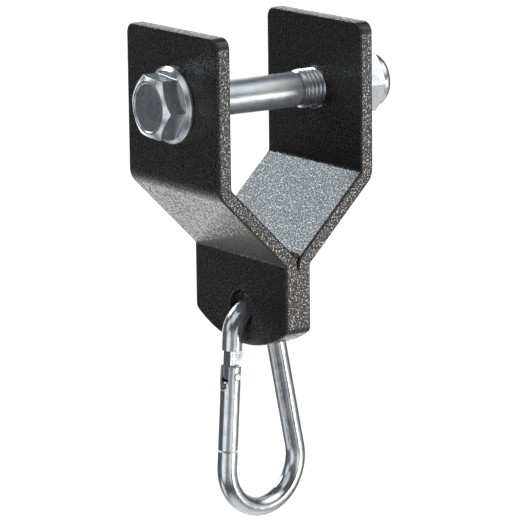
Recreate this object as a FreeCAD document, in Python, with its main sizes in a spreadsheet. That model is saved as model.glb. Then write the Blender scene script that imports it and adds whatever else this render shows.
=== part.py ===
import FreeCAD, Part
import math
import os
import Sketcher

# Beam clamp: two bent side plates welded at a hanging tab, an M16 flange bolt with a lock nut
# through the beam, and a pear-shaped snap hook in the tab hole.
# Frame in millimetres: X along the bolt with the head at -X, Z up, origin on the bolt axis
# midway between the side plates.

os.makedirs("parts", exist_ok=True)
doc = FreeCAD.newDocument("beam_clamp")
Vector = FreeCAD.Vector

DIMENSIONS = {
    # side plates
    "beam_gap": 64.0,
    "plate_thick": 6.0,
    "plate_width": 65.0,
    "plate_top": 30.0,
    "upper_bend_z": -33.5,
    "bend_outer_radius": 8.0,
    "bend_inner_radius": 2.0,
    "top_corner_radius": 4.5,
    "plate_edge_round": 0.8,
    "bolt_hole_dia": 17.5,
    "hook_hole_dia": 16.0,
    "hook_hole_z": -88.4,
    "tab_bottom_z": -103.0,
    "tab_bottom_radius": 58.0,
    "tab_corner_radius": 3.0,
    # welds
    "seam_depth": 2.0,
    "seam_width": 2.0,
    "seam_top_z": -67.2,
    "seam_half_gap": 1.5,
    "valley_weld_foot": 2.0,
    "valley_weld_head": 5.0,
    "valley_weld_outer_y": 31.5,
    "valley_weld_inner_y": 23.0,
    # flange bolt
    "flange_radius": 15.7,
    "flange_rim": 1.6,
    "flange_height": 2.8,
    "flange_top_radius": 14.1,
    "across_flats": 24.0,
    "head_height": 11.7,
    "head_face_radius": 10.7,
    "head_recess_radius": 10.1,
    "head_recess_depth": 0.4,
    "shank_radius": 7.2,
    "shank_length": 60.0,
    "bolt_length": 100.0,
    "thread_radius": 8.0,
    "thread_depth": 1.22,
    "thread_pitch": 2.0,
    "thread_turns": 19,
    # lock nut, standing off the plate on its thread
    "nut_standoff": 10.8,
    "nut_hex_height": 11.4,
    "nut_height": 16.0,
    "nut_bore_radius": 8.1,
    "insert_inner_radius": 8.04,
    "insert_outer_radius": 9.9,
    "insert_length": 3.3,
    # snap hook, in its own frame: gate axis along Z, hinge rivet at the origin
    "wire_radius": 4.3,
    "top_bow_radius": 11.2,
    "bottom_bow_radius": 18.9,
    "top_bow_z": 16.8,
    "bottom_bow_z": -38.67,
    "shoulder_z": 10.7,
    "nose_z": -31.9,
    "tongue_thick": 4.4,
    "tongue_radius": 2.4,
    "tongue_step_z": 6.3,
    "gate_top_z": 4.2,
    "gate_bottom_z": -31.4,
    "gate_bore_radius": 3.3,
    "gate_slot_width": 5.0,
    "gate_slot_end_z": -5.8,
    "rivet_radius": 1.2,
    "rivet_fit": 0.04,
    "latch_neck_radius": 1.2,
    "latch_head_radius": 2.3,
    "latch_head_top_z": -33.6,
    "latch_head_bottom_z": -35.0,
    "nose_slot_width": 3.0,
    "nose_lip_z": -32.9,
    "nose_cavity_width": 5.2,
    "nose_cavity_floor_z": -35.4,
}

# Resting attitude of the hook: turned about Z and leaned so that its heavier side hangs lowest.
HOOK_TURN_DEG = 6.0
GATE_LEAN_DEG = 4.0
TOP_BOW_CENTRE_Z = -99.3

sheet = doc.addObject("Spreadsheet::Sheet", "dims")
for row, (alias, number) in enumerate(DIMENSIONS.items(), 1):
    sheet.set(f"A{row}", alias)
    sheet.set(f"B{row}", str(number))
    sheet.setAlias(f"B{row}", alias)
doc.recompute()


class Size:
    """A length that keeps its value together with the sheet expression it comes from."""

    def __init__(self, value, text):
        self.value = value
        self.text = text

    def __add__(self, other):
        other = as_size(other)
        return Size(self.value + other.value, f"({self.text} + {other.text})")

    def __radd__(self, other):
        return as_size(other) + self

    def __neg__(self):
        return Size(-self.value, f"(-1 * {self.text})")

    def __sub__(self, other):
        other = as_size(other)
        return Size(self.value - other.value, f"({self.text} - {other.text})")

    def __rsub__(self, other):
        return as_size(other) - self

    def __mul__(self, factor):
        return Size(self.value * factor, f"({self.text} * ({factor}))")

    __rmul__ = __mul__

    def __truediv__(self, factor):
        return Size(self.value / factor, f"({self.text} / {factor})")


def as_size(item):
    if isinstance(item, Size):
        return item
    return Size(float(item), f"({float(item)})")


def dim(alias):
    return Size(float(DIMENSIONS[alias]), f"dims.{alias}")


def new_body(name):
    return doc.addObject("PartDesign::Body", name)


def origin_item(body, role):
    return next(item for item in body.Origin.OriginFeatures if item.Role == role)


def new_sketch(body, name, role, offset=None):
    sketch = body.newObject("Sketcher::SketchObject", name)
    sketch.AttachmentSupport = (origin_item(body, role), [""])
    sketch.MapMode = "FlatFace"
    if offset is not None:
        offset = as_size(offset)
        sketch.AttachmentOffset = FreeCAD.Placement(Vector(0, 0, offset.value), FreeCAD.Rotation())
        sketch.setExpression("AttachmentOffset.Base.z", offset.text)
    return sketch


def bind(sketch, kind, *places, size):
    """Add a measured constraint whose value follows the sheet."""
    index = sketch.addConstraint(Sketcher.Constraint(kind, *places, size.value))
    sketch.setExpression(f"Constraints[{index}]", size.text)


def place_point(sketch, geometry, end, x, y):
    """Hold one point of a sketch at (x, y) from the sketch origin."""
    if abs(x.value) < 1e-9:
        sketch.addConstraint(Sketcher.Constraint("PointOnObject", geometry, end, -2))
    else:
        bind(sketch, "DistanceX", -1, 1, geometry, end, size=x)
    if abs(y.value) < 1e-9:
        sketch.addConstraint(Sketcher.Constraint("PointOnObject", geometry, end, -1))
    else:
        bind(sketch, "DistanceY", -1, 1, geometry, end, size=y)


def arc_between(start, end, radius, turn):
    """Arc no longer than a half circle; turn +1 runs counter-clockwise from start to end."""
    chord = end - start
    half = chord.Length / 2
    rise = math.sqrt(max(radius ** 2 - half ** 2, 0.0))
    left = Vector(-chord.y, chord.x, 0).normalize()
    centre = (start + end) * 0.5 + left * (rise * turn)
    first, last = (start, end) if turn > 0 else (end, start)
    from_angle = math.atan2(first.y - centre.y, first.x - centre.x)
    to_angle = math.atan2(last.y - centre.y, last.x - centre.x)
    if to_angle <= from_angle:
        to_angle += 2 * math.pi
    return Part.ArcOfCircle(Part.Circle(centre, Vector(0, 0, 1), radius), from_angle, to_angle)


def outline(sketch, corners):
    """Draw a closed outline. A corner is (x, y), or (x, y, radius, turn) when an arc leaves it."""
    points = [(as_size(corner[0]), as_size(corner[1])) for corner in corners]
    ends = []
    for place, corner in enumerate(corners):
        start = Vector(points[place][0].value, points[place][1].value, 0)
        following = points[(place + 1) % len(points)]
        finish = Vector(following[0].value, following[1].value, 0)
        if len(corner) == 2:
            index = sketch.addGeometry(Part.LineSegment(start, finish), False)
            ends.append((index, 1, 2))
            continue
        radius, turn = as_size(corner[2]), corner[3]
        index = sketch.addGeometry(arc_between(start, finish, radius.value, turn), False)
        ends.append((index, 1, 2) if turn > 0 else (index, 2, 1))
        bind(sketch, "Radius", index, size=radius)
    for place, (index, start_end, finish_end) in enumerate(ends):
        after, after_start, _ = ends[(place + 1) % len(ends)]
        sketch.addConstraint(Sketcher.Constraint("Coincident", index, finish_end, after, after_start))
        place_point(sketch, index, start_end, *points[place])


def circle(sketch, x, y, radius):
    x, y, radius = as_size(x), as_size(y), as_size(radius)
    ring = Part.Circle(Vector(x.value, y.value, 0), Vector(0, 0, 1), radius.value)
    index = sketch.addGeometry(ring, False)
    bind(sketch, "Radius", index, size=radius)
    place_point(sketch, index, 3, x, y)


def hexagon(sketch, across_flats, first_corner_deg):
    """Six-sided outline around the sketch origin."""
    reach = across_flats / math.sqrt(3.0)
    corners = []
    for side in range(6):
        angle = math.radians(first_corner_deg + 60 * side)
        corners.append((reach * math.cos(angle), reach * math.sin(angle)))
    outline(sketch, corners)


def pad(body, name, sketch, length, both_ways=False, flipped=False):
    feature = body.newObject("PartDesign::Pad", name)
    feature.Profile = sketch
    feature.Length = length.value
    feature.setExpression("Length", length.text)
    feature.SideType = "Symmetric" if both_ways else "One side"
    feature.Reversed = flipped
    doc.recompute()
    return feature


def pocket(body, name, sketch, length, both_ways=False, flipped=False):
    """Cut a sketch out of the body and make sure that material went."""
    before = body.Shape.Volume
    length = as_size(length)
    feature = body.newObject("PartDesign::Pocket", name)
    feature.Profile = sketch
    feature.Length = length.value
    feature.setExpression("Length", length.text)
    feature.SideType = "Symmetric" if both_ways else "One side"
    feature.Reversed = flipped
    doc.recompute()
    if body.Shape.Volume > before - 0.01:
        raise RuntimeError(f"{name} removed nothing")
    return feature


def revolve(body, name, sketch, axis):
    feature = body.newObject("PartDesign::Revolution", name)
    feature.Profile = sketch
    feature.ReferenceAxis = (sketch, [axis])
    feature.Angle = 360
    doc.recompute()
    return feature


def groove(body, name, sketch, axis):
    """Cut a turned profile out of the body and make sure that material went."""
    before = body.Shape.Volume
    feature = body.newObject("PartDesign::Groove", name)
    feature.Profile = sketch
    feature.ReferenceAxis = (sketch, [axis])
    feature.Angle = 360
    doc.recompute()
    if body.Shape.Volume > before - 0.01:
        raise RuntimeError(f"{name} removed nothing")
    return feature


def fillet(body, name, radius, wanted):
    """Round the edges of the body's tip for which wanted(edge) is true."""
    base = body.Tip
    names = [f"Edge{n}" for n, edge in enumerate(base.Shape.Edges, 1) if wanted(edge)]
    if not names:
        raise RuntimeError(f"{name} found no edge")
    feature = body.newObject("PartDesign::Fillet", name)
    feature.Base = (base, names)
    feature.Radius = radius.value
    feature.setExpression("Radius", radius.text)
    doc.recompute()
    return feature


def near(a, b):
    return abs(a - b) < 0.01


def ends_of(edge):
    return [vertex.Point for vertex in edge.Vertexes]


def middle(edge):
    return edge.valueAt((edge.FirstParameter + edge.LastParameter) / 2)


def runs_along(edge, axis):
    """True for a straight edge parallel to the named axis."""
    points = ends_of(edge)
    if len(points) != 2 or not isinstance(edge.Curve, Part.Line):
        return False
    step = points[1] - points[0]
    return near(abs(getattr(step, axis)), step.Length)


half_gap = dim("beam_gap") / 2
thick = dim("plate_thick")
plate_outer = half_gap + thick
half_width = dim("plate_width") / 2
mitre = thick * math.tan(math.radians(22.5))
lower_bend_z = dim("upper_bend_z") - half_gap


def side_plate(name, side):
    """One bent plate: upright beam face, 45 degree slope and half of the hanging tab."""
    body = new_body(name)
    strip_end = dim("tab_bottom_z") - 3.0
    strip = new_sketch(body, f"{name}_strip", "XZ_Plane")
    outline(strip, [
        (plate_outer * side, dim("plate_top")),
        (plate_outer * side, dim("upper_bend_z")),
        (thick * side, lower_bend_z),
        (thick * side, strip_end),
        (0, strip_end),
        (0, lower_bend_z + mitre),
        (half_gap * side, dim("upper_bend_z") + mitre),
        (half_gap * side, dim("plate_top")),
    ])
    pad(body, f"{name}_pad", strip, dim("plate_width"), both_ways=True)

    def bend_line(*places):
        def wanted(edge):
            point = middle(edge)
            return runs_along(edge, "y") and any(
                near(point.x, x * side) and near(point.z, z) for x, z in places)
        return wanted

    fillet(body, f"{name}_outer_bends", dim("bend_outer_radius"), bend_line(
        (plate_outer.value, dim("upper_bend_z").value),
        (0.0, (lower_bend_z + mitre).value)))
    fillet(body, f"{name}_inner_bends", dim("bend_inner_radius"), bend_line(
        (thick.value, lower_bend_z.value),
        (half_gap.value, (dim("upper_bend_z") + mitre).value)))

    # The tab ends in a shallow arc.
    arc_reach = 40.0
    radius = DIMENSIONS["tab_bottom_radius"]
    arc_rise = radius - math.sqrt(radius ** 2 - arc_reach ** 2)
    arc_end_z = dim("tab_bottom_z") + arc_rise
    below = dim("tab_bottom_z") - 12.0
    tab_end = new_sketch(body, f"{name}_tab_end", "YZ_Plane")
    outline(tab_end, [
        (-arc_reach, arc_end_z, dim("tab_bottom_radius"), 1),
        (arc_reach, arc_end_z),
        (arc_reach, below),
        (-arc_reach, below),
    ])
    pocket(body, f"{name}_tab_arc", tab_end, thick * 4, both_ways=True)

    holes = new_sketch(body, f"{name}_holes", "YZ_Plane")
    circle(holes, 0, 0, dim("bolt_hole_dia") / 2)
    circle(holes, 0, dim("hook_hole_z"), dim("hook_hole_dia") / 2)
    pocket(body, f"{name}_drilled", holes, plate_outer * 3, both_ways=True)

    fillet(body, f"{name}_top_corners", dim("top_corner_radius"), lambda edge: (
        runs_along(edge, "x") and near(middle(edge).z, DIMENSIONS["plate_top"])
        and near(abs(middle(edge).y), half_width.value)))
    fillet(body, f"{name}_tab_corners", dim("tab_corner_radius"), lambda edge: (
        runs_along(edge, "x") and near(abs(middle(edge).y), half_width.value)
        and middle(edge).z < DIMENSIONS["hook_hole_z"]))

    # Every sheared edge and both hole rims are softened.
    def sheared(edge):
        point = middle(edge)
        if runs_along(edge, "x"):
            return False
        on_side = near(abs(point.y), half_width.value) and not runs_along(edge, "x")
        on_top = near(point.z, DIMENSIONS["plate_top"])
        rim = isinstance(edge.Curve, Part.Circle) and len(edge.Vertexes) == 1
        return on_side or on_top or rim

    fillet(body, f"{name}_soft_edges", dim("plate_edge_round"), sheared)

    # A step along the tab's outline takes the seam welds.
    steps = new_sketch(body, f"{name}_seam_steps", "YZ_Plane")
    clear = 1.0
    for edge_side in (1, -1):
        inner = seam_path(edge_side, dim("seam_depth"))
        outline(steps, inner + [
            (dim("seam_half_gap") * edge_side, dim("tab_bottom_z") - clear),
            ((half_width + clear) * edge_side, dim("tab_bottom_z") - clear),
            ((half_width + clear) * edge_side, dim("seam_top_z")),
        ])
    pocket(body, f"{name}_seam_stepped", steps, dim("seam_width"), both_ways=True)
    return body


def seam_path(edge_side, inset, outwards=False):
    """The tab's outline on one side, set in by inset: down the long edge and under the corner."""
    big = dim("tab_bottom_radius")
    small = dim("tab_corner_radius")
    arc_centre_z = dim("tab_bottom_z") + big
    across = (half_width - small).value
    down = math.sqrt((big - small).value ** 2 - across ** 2)
    share = (big - inset).value / (big - small).value
    gap = dim("seam_half_gap")
    gap_drop = math.sqrt((big - inset).value ** 2 - gap.value ** 2)
    points = [
        ((half_width - inset) * edge_side, dim("seam_top_z")),
        ((half_width - inset) * edge_side, arc_centre_z - down),
        (across * share * edge_side, arc_centre_z - down * share),
        (gap * edge_side, arc_centre_z - gap_drop),
    ]
    turns = [None, (small - inset, -edge_side), (big - inset, -edge_side)]
    if outwards:
        points.reverse()
        turns = [(radius, -turn) for radius, turn in reversed(turns[1:])] + [None]
    return [point + (turn or ()) for point, turn in zip(points, turns)] + [points[-1]]


def seam_welds():
    """Two flush beads that join the plates along the tab's outline, one from each side."""
    body = new_body("seam_welds")
    body.AllowCompound = True
    beads = new_sketch(body, "seam_bead_sections", "YZ_Plane")
    for edge_side in (1, -1):
        outline(beads, seam_path(edge_side, as_size(0))
                + seam_path(edge_side, dim("seam_depth"), outwards=True))
    pad(body, "seam_beads", beads, dim("seam_width"), both_ways=True)
    return body


def valley_weld(name, side):
    """A short bead in the valley where the two slopes meet, at one end of it."""
    body = new_body(name)
    radius = dim("bend_outer_radius")
    bend_axis_z = lower_bend_z + mitre - radius * math.tan(math.radians(22.5))
    levels = []
    for alias in ("valley_weld_foot", "valley_weld_head"):
        rise = DIMENSIONS[alias]
        half = radius.value - math.sqrt(radius.value ** 2 - rise ** 2)
        levels.append((half, bend_axis_z + dim(alias)))
    (foot, foot_z), (head, head_z) = levels
    section = new_sketch(body, f"{name}_section", "XZ_Plane", dim("valley_weld_inner_y") * -side)
    outline(section, [
        (foot, foot_z, radius, -1),
        (head, head_z, 3.0, 1),
        (-head, head_z, radius, -1),
        (-foot, foot_z),
    ])
    length = dim("valley_weld_outer_y") - dim("valley_weld_inner_y")
    pad(body, f"{name}_bead", section, length, flipped=side > 0)
    return body


def flange_bolt():
    body = new_body("flange_bolt")
    bearing = -plate_outer
    top = bearing - dim("head_height")
    tip = bearing + dim("bolt_length")
    shank_end = bearing + dim("shank_length")
    shank = dim("shank_radius")
    crest = dim("thread_radius")
    root = crest - dim("thread_depth")
    flange = dim("flange_radius")
    hex_end = bearing - dim("flange_height")
    turned = new_sketch(body, "bolt_profile", "XZ_Plane")
    outline(turned, [
        (top + 1.0, 0),
        (top + 1.0, 9.0),
        (hex_end, 9.0),
        (hex_end, dim("flange_top_radius")),
        (bearing - dim("flange_rim"), flange - 0.5, 0.5, -1),
        (bearing - dim("flange_rim") + 0.5, flange),
        (bearing - 0.6, flange, 0.6, -1),
        (bearing, flange - 0.6),
        (bearing, shank + 0.8, 0.8, 1),
        (bearing + 0.8, shank),
        (shank_end - 0.5, shank),
        (shank_end, root),
        (shank_end + 0.7, root),
        (shank_end + 1.5, crest),
        (tip - 1.4, crest),
        (tip, root - 0.1),
        (tip, 0),
    ])
    revolve(body, "bolt_turned", turned, "H_Axis")

    head = new_sketch(body, "head_hexagon", "YZ_Plane", top)
    hexagon(head, dim("across_flats"), 65.5)
    pad(body, "head_hex", head, dim("head_height") - dim("flange_height"))

    slope = 4.6 * math.tan(math.radians(30))
    face = dim("head_face_radius")
    chamfer = new_sketch(body, "head_chamfer_profile", "XZ_Plane")
    outline(chamfer, [
        (top, face),
        (top + slope, face + 4.6),
        (top - 1.0, face + 4.6),
        (top - 1.0, face),
    ])
    groove(body, "head_chamfer", chamfer, "H_Axis")

    recess = new_sketch(body, "head_recess_profile", "XZ_Plane")
    depth = dim("head_recess_depth")
    outline(recess, [
        (top - 1.0, 0),
        (top + depth, 0),
        (top + depth, dim("head_recess_radius") - depth),
        (top, dim("head_recess_radius")),
        (top - 1.0, dim("head_recess_radius")),
    ])
    groove(body, "head_recess", recess, "H_Axis")

    first = shank_end + 2.4
    flank = 0.61
    notch = new_sketch(body, "thread_notch_profile", "XZ_Plane")
    outline(notch, [
        (first - 0.14, root),
        (first - 0.14 - flank * (DIMENSIONS["thread_depth"] + 0.2), crest + 0.2),
        (first + 0.14 + flank * (DIMENSIONS["thread_depth"] + 0.2), crest + 0.2),
        (first + 0.14, root),
    ])
    cut = groove(body, "thread_notch", notch, "H_Axis")
    pattern = body.newObject("PartDesign::LinearPattern", "thread")
    pattern.Originals = [cut]
    pattern.Direction = (origin_item(body, "X_Axis"), [""])
    span = dim("thread_pitch") * (DIMENSIONS["thread_turns"] - 1)
    pattern.Length = span.value
    pattern.setExpression("Length", span.text)
    pattern.Occurrences = DIMENSIONS["thread_turns"]
    body.Tip = pattern
    doc.recompute()
    return body


def lock_nut():
    body = new_body("lock_nut")
    face = plate_outer + dim("nut_standoff")
    shoulder = face + dim("nut_hex_height")
    end = face + dim("nut_height")
    hexed = new_sketch(body, "nut_hexagon", "YZ_Plane", face)
    hexagon(hexed, dim("across_flats"), 0.0)
    pad(body, "nut_hex", hexed, dim("nut_hex_height"))

    collar = new_sketch(body, "nut_collar_profile", "XZ_Plane")
    outline(collar, [
        (shoulder - 2.0, 0),
        (shoulder - 2.0, 11.5),
        (shoulder + 1.4, 11.4, 3.2, -1),
        (end, 8.9),
        (end, 0),
    ])
    revolve(body, "nut_collar", collar, "H_Axis")

    slope = math.tan(math.radians(30))
    for name, start, away in (("bearing", face, -1), ("collar", shoulder, 1)):
        section = new_sketch(body, f"nut_{name}_chamfer_profile", "XZ_Plane")
        outline(section, [
            (start, 11.5),
            (start - away * 3.5 * slope, 15.0),
            (start + away * 1.0, 15.0),
            (start + away * 1.0, 11.5),
        ])
        groove(body, f"nut_{name}_chamfer", section, "H_Axis")

    seat_start = end - 1.2 - dim("insert_length") - 0.1
    bore = dim("nut_bore_radius")
    seat = dim("insert_outer_radius") + 0.05
    inside = new_sketch(body, "nut_inside_profile", "XZ_Plane")
    outline(inside, [
        (face - 1.0, 0),
        (face - 1.0, bore + 1.6),
        (face + 0.6, bore),
        (seat_start, bore),
        (seat_start, seat),
        (end - 1.2, seat),
        (end - 1.2, 8.5),
        (end + 1.0, 8.5),
        (end + 1.0, 0),
    ])
    groove(body, "nut_inside", inside, "H_Axis")
    return body


def nylon_insert():
    body = new_body("nylon_insert")
    end = plate_outer + dim("nut_standoff") + dim("nut_height") - 1.25
    start = end - dim("insert_length")
    ring = new_sketch(body, "insert_profile", "XZ_Plane")
    outline(ring, [
        (start, dim("insert_inner_radius") + 0.3),
        (start + 0.3, dim("insert_inner_radius")),
        (end - 0.3, dim("insert_inner_radius")),
        (end, dim("insert_inner_radius") + 0.3),
        (end, dim("insert_outer_radius")),
        (start, dim("insert_outer_radius")),
    ])
    revolve(body, "insert_ring", ring, "H_Axis")
    return body


def hook_spine(sketch):
    """Centreline of the bent wire, from the hinge shoulder round both bows to the nose."""
    top_r, low_r = dim("top_bow_radius"), dim("bottom_bow_radius")
    top_z, low_z = dim("top_bow_z"), dim("bottom_bow_z")
    top_centre = Vector(top_r.value, top_z.value, 0)
    low_centre = Vector(low_r.value, low_z.value, 0)
    lean = 2 * math.atan2(low_centre.x - top_centre.x, top_centre.y - low_centre.y)
    outward = Vector(math.cos(lean), math.sin(lean), 0)
    normal = Vector(0, 0, 1)
    shoulder = Vector(0, DIMENSIONS["shoulder_z"], 0)
    nose = Vector(0, DIMENSIONS["nose_z"], 0)
    gate_leg = sketch.addGeometry(Part.LineSegment(shoulder, Vector(0, top_z.value, 0)), False)
    top_bow = sketch.addGeometry(
        Part.ArcOfCircle(Part.Circle(top_centre, normal, top_r.value), lean, math.pi), False)
    spine_leg = sketch.addGeometry(Part.LineSegment(
        top_centre + outward * top_r.value, low_centre + outward * low_r.value), False)
    low_bow = sketch.addGeometry(
        Part.ArcOfCircle(Part.Circle(low_centre, normal, low_r.value), -math.pi, lean), False)
    nose_leg = sketch.addGeometry(Part.LineSegment(Vector(0, low_z.value, 0), nose), False)
    joins = (
        (gate_leg, 2, top_bow, 2),
        (top_bow, 1, spine_leg, 1),
        (spine_leg, 2, low_bow, 2),
        (low_bow, 1, nose_leg, 1),
    )
    for join in joins:
        sketch.addConstraint(Sketcher.Constraint("Tangent", *join))
    for leg in (gate_leg, nose_leg):
        sketch.addConstraint(Sketcher.Constraint("Vertical", leg))
    place_point(sketch, gate_leg, 1, as_size(0), dim("shoulder_z"))
    place_point(sketch, nose_leg, 2, as_size(0), dim("nose_z"))
    for bow, radius, height in ((top_bow, top_r, top_z), (low_bow, low_r, low_z)):
        bind(sketch, "Radius", bow, size=radius)
        bind(sketch, "DistanceY", -1, 1, bow, 3, size=height)


def hook_body():
    body = new_body("hook_body")
    spine = new_sketch(body, "wire_centreline", "XZ_Plane")
    hook_spine(spine)
    section = new_sketch(body, "wire_section", "XY_Plane", dim("shoulder_z"))
    circle(section, 0, 0, dim("wire_radius"))
    doc.recompute()
    wire = body.newObject("PartDesign::AdditivePipe", "wire")
    wire.Profile = section
    wire.Spine = (spine, [])
    doc.recompute()

    # Flat tongue that carries the hinge rivet: round heel, relief for the opening gate, step.
    radius = dim("tongue_radius")
    open_angle = math.radians(22)
    cos_open, sin_open = math.cos(open_angle), math.sin(open_angle)
    step = dim("tongue_step_z")
    relief_z = 5.2
    relief_x = (DIMENSIONS["tongue_radius"] - relief_z * sin_open) / cos_open
    flat = new_sketch(body, "tongue_outline", "XZ_Plane")
    outline(flat, [
        (-radius, dim("shoulder_z") + 2.0),
        (-radius, 0, radius, 1),
        (0, -radius, radius, 1),
        (radius * cos_open, radius * sin_open),
        (relief_x, relief_z),
        (relief_x, step),
        (dim("wire_radius") - 0.3, step),
        (dim("wire_radius") - 0.3, dim("shoulder_z") + 2.0),
    ])
    pad(body, "tongue", flat, dim("tongue_thick"), both_ways=True)

    eye = new_sketch(body, "tongue_eye", "XZ_Plane")
    circle(eye, 0, 0, dim("rivet_radius") + dim("rivet_fit"))
    pocket(body, "tongue_eye_cut", eye, 12.0, both_ways=True)

    # T-slot in the nose, open towards the inside of the hook, for the gate's latch pin.
    throat = new_sketch(body, "nose_throat_outline", "XZ_Plane")
    outline(throat, [
        (-1.5, dim("nose_z") + 2.0),
        (-1.5, dim("nose_lip_z") - 0.5),
        (6.0, dim("nose_lip_z") - 0.5),
        (6.0, dim("nose_z") + 2.0),
    ])
    pocket(body, "nose_throat", throat, dim("nose_slot_width"), both_ways=True)
    cavity = new_sketch(body, "nose_cavity_outline", "XZ_Plane")
    outline(cavity, [
        (-2.6, dim("nose_lip_z")),
        (-2.6, dim("nose_cavity_floor_z")),
        (6.0, dim("nose_cavity_floor_z")),
        (6.0, dim("nose_lip_z")),
    ])
    pocket(body, "nose_cavity", cavity, dim("nose_cavity_width"), both_ways=True)
    return body


def hook_gate():
    body = new_body("hook_gate")
    ring = new_sketch(body, "gate_section", "XY_Plane", dim("gate_bottom_z"))
    circle(ring, 0, 0, dim("wire_radius"))
    circle(ring, 0, 0, dim("gate_bore_radius"))
    pad(body, "gate_tube", ring, dim("gate_top_z") - dim("gate_bottom_z"))

    half = dim("gate_slot_width") / 2
    end = dim("gate_slot_end_z")
    slot = new_sketch(body, "gate_slot_outline", "YZ_Plane")
    outline(slot, [
        (-half, dim("gate_top_z") + 2.0),
        (-half, end + half, half, 1),
        (0, end, half, 1),
        (half, end + half),
        (half, dim("gate_top_z") + 2.0),
    ])
    pocket(body, "gate_slot", slot, 8.0)

    cheeks = new_sketch(body, "gate_rivet_holes", "XZ_Plane")
    circle(cheeks, 0, 0, dim("rivet_radius") + dim("rivet_fit") / 2)
    pocket(body, "gate_drilled", cheeks, 14.0, both_ways=True)

    rim_radius = DIMENSIONS["wire_radius"]
    fillet(body, "gate_rims", as_size(0.35), lambda edge: (
        isinstance(edge.Curve, Part.Circle) and near(edge.Curve.Radius, rim_radius)
        and abs(edge.Curve.Axis.z) > 0.99))
    return body


def hinge_rivet():
    body = new_body("hinge_rivet")
    radius = dim("rivet_radius")
    seat = dim("wire_radius")
    crown = seat + 0.4
    head = 1.75
    profile = new_sketch(body, "rivet_profile", "YZ_Plane")
    outline(profile, [
        (-crown, 0),
        (-crown, head - 0.7, 0.7, -1),
        (-seat - 0.05, head),
        (-seat, head),
        (-seat, radius),
        (seat, radius),
        (seat, head),
        (seat + 0.05, head, 0.7, -1),
        (crown, head - 0.7),
        (crown, 0),
    ])
    revolve(body, "rivet_turned", profile, "H_Axis")
    return body


def gate_plunger():
    body = new_body("gate_plunger")
    top = -dim("tongue_radius") - 0.1
    profile = new_sketch(body, "plunger_profile", "XZ_Plane")
    outline(profile, [
        (0, top),
        (2.6, top),
        (3.15, top - 0.5),
        (3.15, top - 3.0),
        (1.5, top - 3.0),
        (1.5, top - 7.0),
        (0, top - 7.0),
    ])
    revolve(body, "plunger_turned", profile, "V_Axis")
    return body


def gate_latch():
    body = new_body("gate_latch")
    plug_top = dim("gate_bottom_z") + 4.1
    neck = dim("latch_neck_radius")
    head = dim("latch_head_radius")
    profile = new_sketch(body, "latch_profile", "XZ_Plane")
    outline(profile, [
        (0, plug_top),
        (dim("gate_bore_radius") - 0.02, plug_top),
        (dim("gate_bore_radius") - 0.02, dim("gate_bottom_z")),
        (neck, dim("gate_bottom_z")),
        (neck, dim("latch_head_top_z")),
        (head, dim("latch_head_top_z")),
        (head, dim("latch_head_bottom_z")),
        (0, dim("latch_head_bottom_z")),
    ])
    revolve(body, "latch_turned", profile, "V_Axis")
    return body


def gate_spring():
    """Compression spring between the plunger's shoulder and the latch plug."""
    wire = 0.4
    coil = 2.35
    top = -DIMENSIONS["tongue_radius"] - 3.1 - wire - 0.05
    bottom = DIMENSIONS["gate_bottom_z"] + 4.1 + wire + 0.05
    turns = 10
    helix = Part.makeHelix((top - bottom) / turns, top - bottom, coil)
    helix.translate(Vector(0, 0, bottom))
    section = Part.Wire(Part.makeCircle(wire, Vector(coil, 0, bottom), Vector(0, 1, 0)))
    coils = Part.Wire(helix).makePipeShell([section], True, True)
    feature = doc.addObject("Part::Feature", "gate_spring")
    feature.Shape = coils
    return feature


def hook_pose():
    """Placement of the hook's own frame in the clamp's frame."""
    lean = FreeCAD.Rotation(Vector(0, 1, 0), GATE_LEAN_DEG)
    turn = FreeCAD.Rotation(Vector(0, 0, 1), HOOK_TURN_DEG)
    rotation = turn.multiply(lean)
    top_centre = Vector(DIMENSIONS["top_bow_radius"], 0, DIMENSIONS["top_bow_z"])
    base = Vector(0, 0, TOP_BOW_CENTRE_Z) - rotation.multVec(top_centre)
    return FreeCAD.Placement(base, rotation)


nodes = {
    "head_side_plate": [side_plate("head_side_plate", -1)],
    "nut_side_plate": [side_plate("nut_side_plate", 1)],
    "seam_welds": [seam_welds()],
    "valley_welds": [valley_weld("valley_weld_front", -1), valley_weld("valley_weld_rear", 1)],
    "flange_bolt": [flange_bolt()],
    "lock_nut": [lock_nut()],
    "nylon_insert": [nylon_insert()],
    "hook_body": [hook_body()],
    "hook_gate": [hook_gate()],
    "hinge_rivet": [hinge_rivet()],
    "gate_plunger": [gate_plunger()],
    "gate_spring": [gate_spring()],
    "gate_latch": [gate_latch()],
}
HOOK_NODES = ("hook_body", "hook_gate", "hinge_rivet", "gate_plunger", "gate_spring", "gate_latch")
for node in HOOK_NODES:
    for item in nodes[node]:
        item.Placement = hook_pose()
doc.recompute()

for item in doc.Objects:
    if "Invalid" in item.State or "Error" in item.State:
        raise RuntimeError(f"{item.Name} is in state {item.State}")

for node, items in nodes.items():
    shapes = [item.Shape for item in items]
    shape = shapes[0] if len(shapes) == 1 else Part.makeCompound(shapes)
    if not shape.isValid() or not shape.Solids:
        raise RuntimeError(f"{node} has no valid solid")
    shape.exportStep(f"parts/{node}.step")
    box = shape.BoundBox
    print(f"{node}: {len(shape.Solids)} solid, {shape.Volume:.1f} mm3, "
          f"X {box.XMin:.2f} {box.XMax:.2f} Y {box.YMin:.2f} {box.YMax:.2f} "
          f"Z {box.ZMin:.2f} {box.ZMax:.2f}")
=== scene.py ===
import math

import bmesh
import bpy
from mathutils import Matrix, Vector


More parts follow.
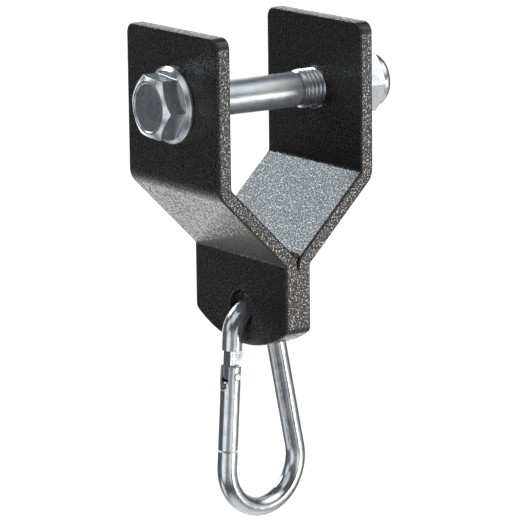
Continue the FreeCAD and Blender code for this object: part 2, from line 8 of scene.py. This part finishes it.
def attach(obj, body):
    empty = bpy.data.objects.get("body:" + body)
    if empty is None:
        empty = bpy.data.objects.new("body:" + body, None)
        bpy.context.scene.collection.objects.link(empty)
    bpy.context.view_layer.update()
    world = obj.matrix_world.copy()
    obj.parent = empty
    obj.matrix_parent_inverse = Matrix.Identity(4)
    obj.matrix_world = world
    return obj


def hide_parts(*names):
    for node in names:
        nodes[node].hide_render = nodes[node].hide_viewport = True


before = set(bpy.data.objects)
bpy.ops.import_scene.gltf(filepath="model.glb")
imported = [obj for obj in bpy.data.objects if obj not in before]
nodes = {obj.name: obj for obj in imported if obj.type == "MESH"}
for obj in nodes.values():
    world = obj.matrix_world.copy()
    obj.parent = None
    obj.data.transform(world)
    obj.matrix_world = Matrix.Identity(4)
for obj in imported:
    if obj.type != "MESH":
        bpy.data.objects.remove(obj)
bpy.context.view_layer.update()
MM = 0.001


def new_object(name, data):
    item = bpy.data.objects.new(name, data)
    bpy.context.scene.collection.objects.link(item)
    return item


# ---------------------------------------------------------------- camera

def make_camera():
    """Camera in front and to the left of the clamp, a little above it, 1.4 m away."""
    azimuth, elevation, roll = (math.radians(angle) for angle in (35.25, 12.28, -0.70))
    distance = 1.4021
    target = Vector((4.07, 0.0, -69.21)) * MM
    ahead = Vector((math.sin(azimuth) * math.cos(elevation),
                    math.cos(azimuth) * math.cos(elevation),
                    -math.sin(elevation)))
    level = ahead.cross(Vector((0, 0, 1))).normalized()
    above = level.cross(ahead)
    right = level * math.cos(roll) + above * math.sin(roll)
    up = above * math.cos(roll) - level * math.sin(roll)
    place = target - ahead * distance
    data = bpy.data.cameras.new("camera")
    data.sensor_width = 36.0
    data.lens = 236.13
    data.clip_start = 0.05
    data.clip_end = 50.0
    camera = new_object("camera", data)
    turn = Matrix((right, up, -ahead)).transposed().to_4x4()
    camera.matrix_world = Matrix.Translation(place) @ turn
    bpy.context.scene.camera = camera


make_camera()


# ---------------------------------------------------------------- node helpers

class Graph:
    """Small helper round a material's node tree."""

    def __init__(self, name):
        self.material = bpy.data.materials.new(name)
        self.material.use_nodes = True
        self.tree = self.material.node_tree
        self.shader = self.tree.nodes["Principled BSDF"]
        self.where = self.add("ShaderNodeTexCoord").outputs["Object"]

    def add(self, kind, **settings):
        node = self.tree.nodes.new(kind)
        for name, value in settings.items():
            setattr(node, name, value)
        return node

    def join(self, output, socket):
        self.tree.links.new(output, socket)

    def mapped(self, scale):
        node = self.add("ShaderNodeMapping")
        node.inputs["Scale"].default_value = scale
        self.join(self.where, node.inputs["Vector"])
        return node.outputs["Vector"]

    def noise(self, scale, detail=2.0, roughness=0.5, where=None):
        node = self.add("ShaderNodeTexNoise")
        node.inputs["Scale"].default_value = scale
        node.inputs["Detail"].default_value = detail
        node.inputs["Roughness"].default_value = roughness
        self.join(where or self.where, node.inputs["Vector"])
        return node.outputs["Fac"]

    def ramp(self, value, *stops):
        node = self.add("ShaderNodeValToRGB")
        ramp = node.color_ramp
        while len(ramp.elements) < len(stops):
            ramp.elements.new(0.5)
        for element, (place, colour) in zip(ramp.elements, stops):
            element.position = place
            if not isinstance(colour, tuple):
                colour = (colour, colour, colour)
            element.color = (*colour, 1.0)
        self.join(value, node.inputs["Fac"])
        return node.outputs["Color"]

    def math(self, operation, a, b):
        node = self.add("ShaderNodeMath", operation=operation)
        for socket, value in zip(node.inputs, (a, b)):
            if isinstance(value, (int, float)):
                socket.default_value = value
            else:
                self.join(value, socket)
        return node.outputs["Value"]

    def bump(self, height, strength, distance, under=None):
        node = self.add("ShaderNodeBump")
        node.inputs["Strength"].default_value = strength
        node.inputs["Distance"].default_value = distance
        self.join(height, node.inputs["Height"])
        if under is not None:
            self.join(under, node.inputs["Normal"])
        return node.outputs["Normal"]

    def soft_edges(self, radius):
        node = self.add("ShaderNodeBevel", samples=6)
        node.inputs["Radius"].default_value = radius
        return node.outputs["Normal"]


# ---------------------------------------------------------------- materials

def black_hammertone():
    """Glossy black powder coat with a fine pebbled grain."""
    g = Graph("black_hammertone")
    grain = g.noise(1350.0, 2.0, 0.6)
    cloud = g.noise(45.0, 3.0, 0.55)
    pebble = g.ramp(grain, (0.43, 0.0), (0.59, 1.0))
    g.join(g.ramp(pebble, (0.55, (0.0005, 0.0004, 0.0004)), (1.0, (0.027, 0.0205, 0.0165))),
           g.shader.inputs["Base Color"])
    shine = g.ramp(pebble, (0.1, 0.43), (0.7, 0.06))
    g.join(g.math("ADD", shine, g.math("MULTIPLY", cloud, 0.08)), g.shader.inputs["Roughness"])
    g.join(g.bump(pebble, 1.0, 0.00005), g.shader.inputs["Normal"])
    g.shader.inputs["Specular IOR Level"].default_value = 0.9
    return g.material


def bright_zinc(name, along, rough, edge=0.0003, metal=0.9):
    """Bluish bright zinc plating: drawing marks along the part and a mottled sheen."""
    g = Graph(name)
    cloud = g.noise(110.0, 4.0, 0.65)
    streak = g.noise(1.0, 3.0, 0.6, where=g.mapped([1400.0 * k for k in along]))
    blotch = g.noise(420.0, 3.0, 0.6)
    g.join(g.ramp(g.math("ADD", g.math("MULTIPLY", cloud, 0.6), g.math("MULTIPLY", streak, 0.4)),
                  (0.36, (0.50, 0.545, 0.61)), (0.50, (0.72, 0.75, 0.775)),
                  (0.64, (0.83, 0.82, 0.79))), g.shader.inputs["Base Color"])
    spread = g.math("ADD", g.math("MULTIPLY", cloud, 0.16), g.math("MULTIPLY", blotch, 0.14))
    g.join(g.math("ADD", spread, rough - 0.15), g.shader.inputs["Roughness"])
    height = g.math("ADD", streak, g.math("MULTIPLY", blotch, 0.7))
    under = g.soft_edges(edge) if edge else None
    g.join(g.bump(height, 0.5, 0.00007, under), g.shader.inputs["Normal"])
    g.shader.inputs["Metallic"].default_value = metal
    return g.material


def nylon():
    g = Graph("nylon")
    mottle = g.noise(700.0, 3.0)
    g.join(g.ramp(mottle, (0.3, (0.05, 0.16, 0.42)), (0.7, (0.08, 0.22, 0.52))),
           g.shader.inputs["Base Color"])
    g.join(g.math("ADD", g.math("MULTIPLY", mottle, 0.2), 0.35), g.shader.inputs["Roughness"])
    g.join(g.bump(mottle, 0.2, 0.0001), g.shader.inputs["Normal"])
    g.shader.inputs["Subsurface Weight"].default_value = 0.08
    return g.material


def paint(obj, material):
    obj.data.materials.clear()
    obj.data.materials.append(material)


coat = black_hammertone()
zinc_head = bright_zinc("zinc_head", (1.0, 0.4, 0.4), 0.24, edge=0.00035)
zinc_bolt = bright_zinc("zinc_bolt", (0.10, 1.0, 1.0), 0.38, metal=0.75)
zinc_nut = bright_zinc("zinc_nut", (1.0, 0.3, 0.3), 0.22)
zinc_wire = bright_zinc("zinc_wire", (1.0, 1.0, 0.08), 0.18)
zinc_gate = bright_zinc("zinc_gate", (1.0, 1.0, 0.05), 0.16)
zinc_thread = bright_zinc("zinc_thread", (1.0, 0.2, 0.2), 0.28, edge=0)
blue_nylon = nylon()
finishes = (
    (coat, ("head_side_plate", "nut_side_plate", "seam_welds")),
    (zinc_nut, ("lock_nut",)),
    (blue_nylon, ("nylon_insert",)),
    (zinc_wire, ("hook_body", "hinge_rivet")),
    (zinc_gate, ("hook_gate", "gate_plunger", "gate_spring", "gate_latch")),
)
for finish, painted in finishes:
    for name in painted:
        paint(nodes[name], finish)


# ---------------------------------------------------------------- bolt thread

# Places along the bolt, in millimetres from the middle of the gap.
HEAD_END = -38.1
SHANK_END = 22.3
THREAD_START = 21.6
THREAD_TIP = 61.98
# Material places on the bolt.
ON_SHANK, ON_THREAD, ON_HEAD = range(3)


def cut_thread_off(mesh_from):
    """The bolt without its threaded end."""
    shape = bmesh.new()
    shape.from_mesh(mesh_from)
    geometry = shape.verts[:] + shape.edges[:] + shape.faces[:]
    bmesh.ops.bisect_plane(shape, geom=geometry, dist=1e-7, plane_co=(SHANK_END * MM, 0, 0),
                           plane_no=(1, 0, 0), clear_outer=True)
    return shape


def add_thread(shape):
    """Right-hand M16 x 2 thread with a run-out at the shank and a chamfered tip."""
    pitch, crest, root = 2.0, 7.98, 6.80
    start, tip = THREAD_START, THREAD_TIP
    run_out_end, run_out_slope = 23.0, 1.1
    chamfer_length, chamfer_slope = 1.3, 0.9
    columns = 96
    tooth = [(0.0, crest), (0.13, crest), (0.19, crest - 0.05), (0.80, root + 0.04),
             (0.90, root), (1.10, root), (1.20, root + 0.04), (1.81, crest - 0.05),
             (1.87, crest)]
    turns = int((tip - start) / pitch) + 3

    def limit(x):
        run_out = root + max(0.0, x - run_out_end) * run_out_slope
        chamfer = crest - max(0.0, x - (tip - chamfer_length)) * chamfer_slope
        return min(run_out, chamfer)

    levels = [(turn * pitch + along, radius) for turn in range(-1, turns)
              for along, radius in tooth]
    per_turn = len(tooth)
    rows = []
    for column in range(columns):
        share = column / columns
        angle = 2 * math.pi * share
        row = []
        for along, radius in levels:
            x = min(max(start + along + pitch * share, start), tip)
            radius = min(radius, limit(x)) if x < tip else root
            row.append(shape.verts.new(Vector((
                x, radius * math.cos(angle), radius * math.sin(angle))) * MM))
        rows.append(row)
    tip_centre = shape.verts.new((tip * MM, 0, 0))
    for column in range(columns):
        left = rows[column]
        right = rows[(column + 1) % columns]
        shift = per_turn if column == columns - 1 else 0
        for level in range(len(levels) - 1 - shift):
            face = shape.faces.new((left[level], left[level + 1],
                                    right[level + 1 + shift], right[level + shift]))
            face.material_index = ON_THREAD
        face = shape.faces.new((left[-1], tip_centre, right[-1]))
        face.material_index = ON_THREAD


def threaded_bolt():
    """The CAD bolt with a true helical thread in place of its rings."""
    shape = cut_thread_off(nodes["flange_bolt"].data)
    for face in shape.faces:
        in_head = face.calc_center_median().x < HEAD_END * MM
        face.material_index = ON_HEAD if in_head else ON_SHANK
    add_thread(shape)
    bmesh.ops.remove_doubles(shape, verts=shape.verts, dist=2e-6)
    bmesh.ops.recalc_face_normals(shape, faces=shape.faces)
    mesh = bpy.data.meshes.new("threaded_bolt")
    shape.to_mesh(mesh)
    shape.free()
    if "custom_normal" in mesh.attributes:
        mesh.attributes.remove(mesh.attributes["custom_normal"])
    mesh.shade_smooth()
    mesh.set_sharp_from_angle(angle=math.radians(26))
    for material in (zinc_bolt, zinc_thread, zinc_head):
        mesh.materials.append(material)
    bolt = new_object("threaded_bolt", mesh)
    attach(bolt, "bolt")
    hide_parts("flange_bolt")


def valley_beads():
    """Rippled weld beads in the valley between the slopes, one at each end."""
    shape = bmesh.new()
    across, along = 10, 56
    start_y, length = 23.1, 8.3
    foot_z, top_z = -63.6, -61.3
    foot_half, half_width = 0.2, 1.72
    crown_rise, ripple_rise, ripple_pitch = 0.45, 0.20, 1.75
    for side in (-1, 1):
        rings = []
        for step in range(along + 1):
            y = start_y + length * step / along
            sink = max(0.0, y - 30.3) ** 2 * 0.9 + max(0.0, 24.2 - y) ** 2 * 1.2
            ring = [(-foot_half, foot_z), (foot_half, foot_z)]
            for place in range(across + 1):
                share = 1 - 2 * place / across
                bowed_y = y + 0.9 * share * share
                ripple = ripple_rise * math.sin(2 * math.pi * bowed_y / ripple_pitch)
                crown = crown_rise * (1 - share * share)
                ring.append((half_width * share, top_z + crown + ripple - sink))
            rings.append([shape.verts.new(Vector((x, y * side, z)) * MM) for x, z in ring])
        for near, far in zip(rings, rings[1:]):
            for left, right in zip(range(len(near)), [*range(1, len(near)), 0]):
                shape.faces.new((near[left], near[right], far[right], far[left]))
        shape.faces.new(rings[0])
        shape.faces.new(rings[-1])
    bmesh.ops.recalc_face_normals(shape, faces=shape.faces)
    mesh = bpy.data.meshes.new("valley_beads")
    shape.to_mesh(mesh)
    shape.free()
    mesh.shade_smooth()
    mesh.set_sharp_from_angle(angle=math.radians(60))
    mesh.materials.append(coat)
    beads = new_object("valley_beads", mesh)
    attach(beads, "bracket")
    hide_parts("valley_welds")


threaded_bolt()
valley_beads()


# ---------------------------------------------------------------- stage and light

def pale_floor():
    """A wide pale floor, a metre under the clamp."""
    g = Graph("pale_floor")
    tone = g.ramp(g.noise(0.6, 3.0), (0.3, 0.90), (0.7, 0.93))
    g.join(tone, g.shader.inputs["Base Color"])
    g.join(tone, g.shader.inputs["Emission Color"])
    g.shader.inputs["Emission Strength"].default_value = 0.55
    g.shader.inputs["Roughness"].default_value = 0.8
    reach = 30.0
    height = -1.1
    corners = [(-reach, -reach, height), (reach, -reach, height), (reach, reach, height),
               (-reach, reach, height)]
    mesh = bpy.data.meshes.new("floor")
    mesh.from_pydata(corners, [], [(0, 1, 2, 3)])
    mesh.materials.append(g.material)
    floor = new_object("floor", mesh)
    floor.visible_glossy = False


def lamp_glow(tree, toward, aim, inside, outside, level, colour):
    """Light of one round lamp: full inside one angle from its aim and gone outside another."""
    near = tree.nodes.new("ShaderNodeVectorMath")
    near.operation = "DOT_PRODUCT"
    near.inputs[1].default_value = Vector(aim).normalized()
    tree.links.new(toward, near.inputs[0])
    spread = tree.nodes.new("ShaderNodeMapRange")
    spread.interpolation_type = "SMOOTHSTEP"
    spread.inputs["From Min"].default_value = math.cos(math.radians(outside))
    spread.inputs["From Max"].default_value = math.cos(math.radians(inside))
    tree.links.new(near.outputs["Value"], spread.inputs["Value"])
    glow = tree.nodes.new("ShaderNodeVectorMath")
    glow.operation = "SCALE"
    glow.inputs[0].default_value = [level * channel for channel in colour]
    tree.links.new(spread.outputs["Result"], glow.inputs["Scale"])
    return glow.outputs["Vector"]


def studio():
    """Dim room with soft lamps. A lamp is its aim, inner and outer angle, level and colour."""
    room_light = (0.048, 0.048, 0.055)
    lamps = [
        ((0.52, 0.85, -0.05), 30, 43, 1.25, (1.0, 1.0, 1.0)),
        ((0.17, 0.77, -0.61), 16, 34, 0.88, (1.0, 0.99, 0.97)),
        ((-0.21, 0.80, 0.56), 8, 16, 7.8, (0.86, 0.94, 1.0)),
        ((0.50, -0.50, 0.70), 16, 30, 1.5, (0.97, 0.99, 1.0)),
        ((0.54, -0.82, -0.20), 4, 10.5, 8.8, (1.0, 0.96, 0.91)),
        ((0.74, -0.64, -0.21), 14, 28, 0.60, (0.95, 1.0, 0.98)),
        ((0.0, -0.98, -0.20), 10, 18, 0.9, (0.95, 0.98, 1.0)),
        ((0.20, -0.10, -0.95), 20, 50, 0.75, (0.97, 0.98, 1.0)),
        ((-0.94, -0.26, -0.20), 14, 27, 1.1, (0.90, 0.95, 1.0)),
        ((-0.90, 0.20, 0.39), 8, 20, 1.0, (0.96, 0.98, 1.0)),
        ((-0.66, 0.28, -0.70), 8, 20, 0.9, (0.96, 0.98, 1.0)),
        ((-0.50, -0.83, -0.22), 10, 26, 0.28, (1.0, 0.88, 0.78)),
        ((-0.48, -0.28, 0.83), 16, 34, 0.9, (0.95, 0.98, 1.0)),
    ]
    world = bpy.data.worlds.new("studio")
    world.use_nodes = True
    tree = world.node_tree
    toward = tree.nodes.new("ShaderNodeTexCoord").outputs["Generated"]
    room = tree.nodes.new("ShaderNodeCombineXYZ")
    for socket, level in zip(room.inputs, room_light):
        socket.default_value = level
    light = room.outputs["Vector"]
    for lamp in lamps:
        total = tree.nodes.new("ShaderNodeVectorMath")
        tree.links.new(light, total.inputs[0])
        tree.links.new(lamp_glow(tree, toward, *lamp), total.inputs[1])
        light = total.outputs["Vector"]
    path = tree.nodes.new("ShaderNodeLightPath")
    seen = tree.nodes.new("ShaderNodeMix")
    seen.data_type = "RGBA"
    seen.inputs[7].default_value = (1.0, 1.0, 1.0, 1.0)
    tree.links.new(path.outputs["Is Camera Ray"], seen.inputs["Factor"])
    tree.links.new(light, seen.inputs[6])
    tree.links.new(seen.outputs[2], tree.nodes["Background"].inputs["Color"])
    bpy.context.scene.world = world
    bpy.context.scene.view_settings.view_transform = "Standard"


pale_floor()
studio()
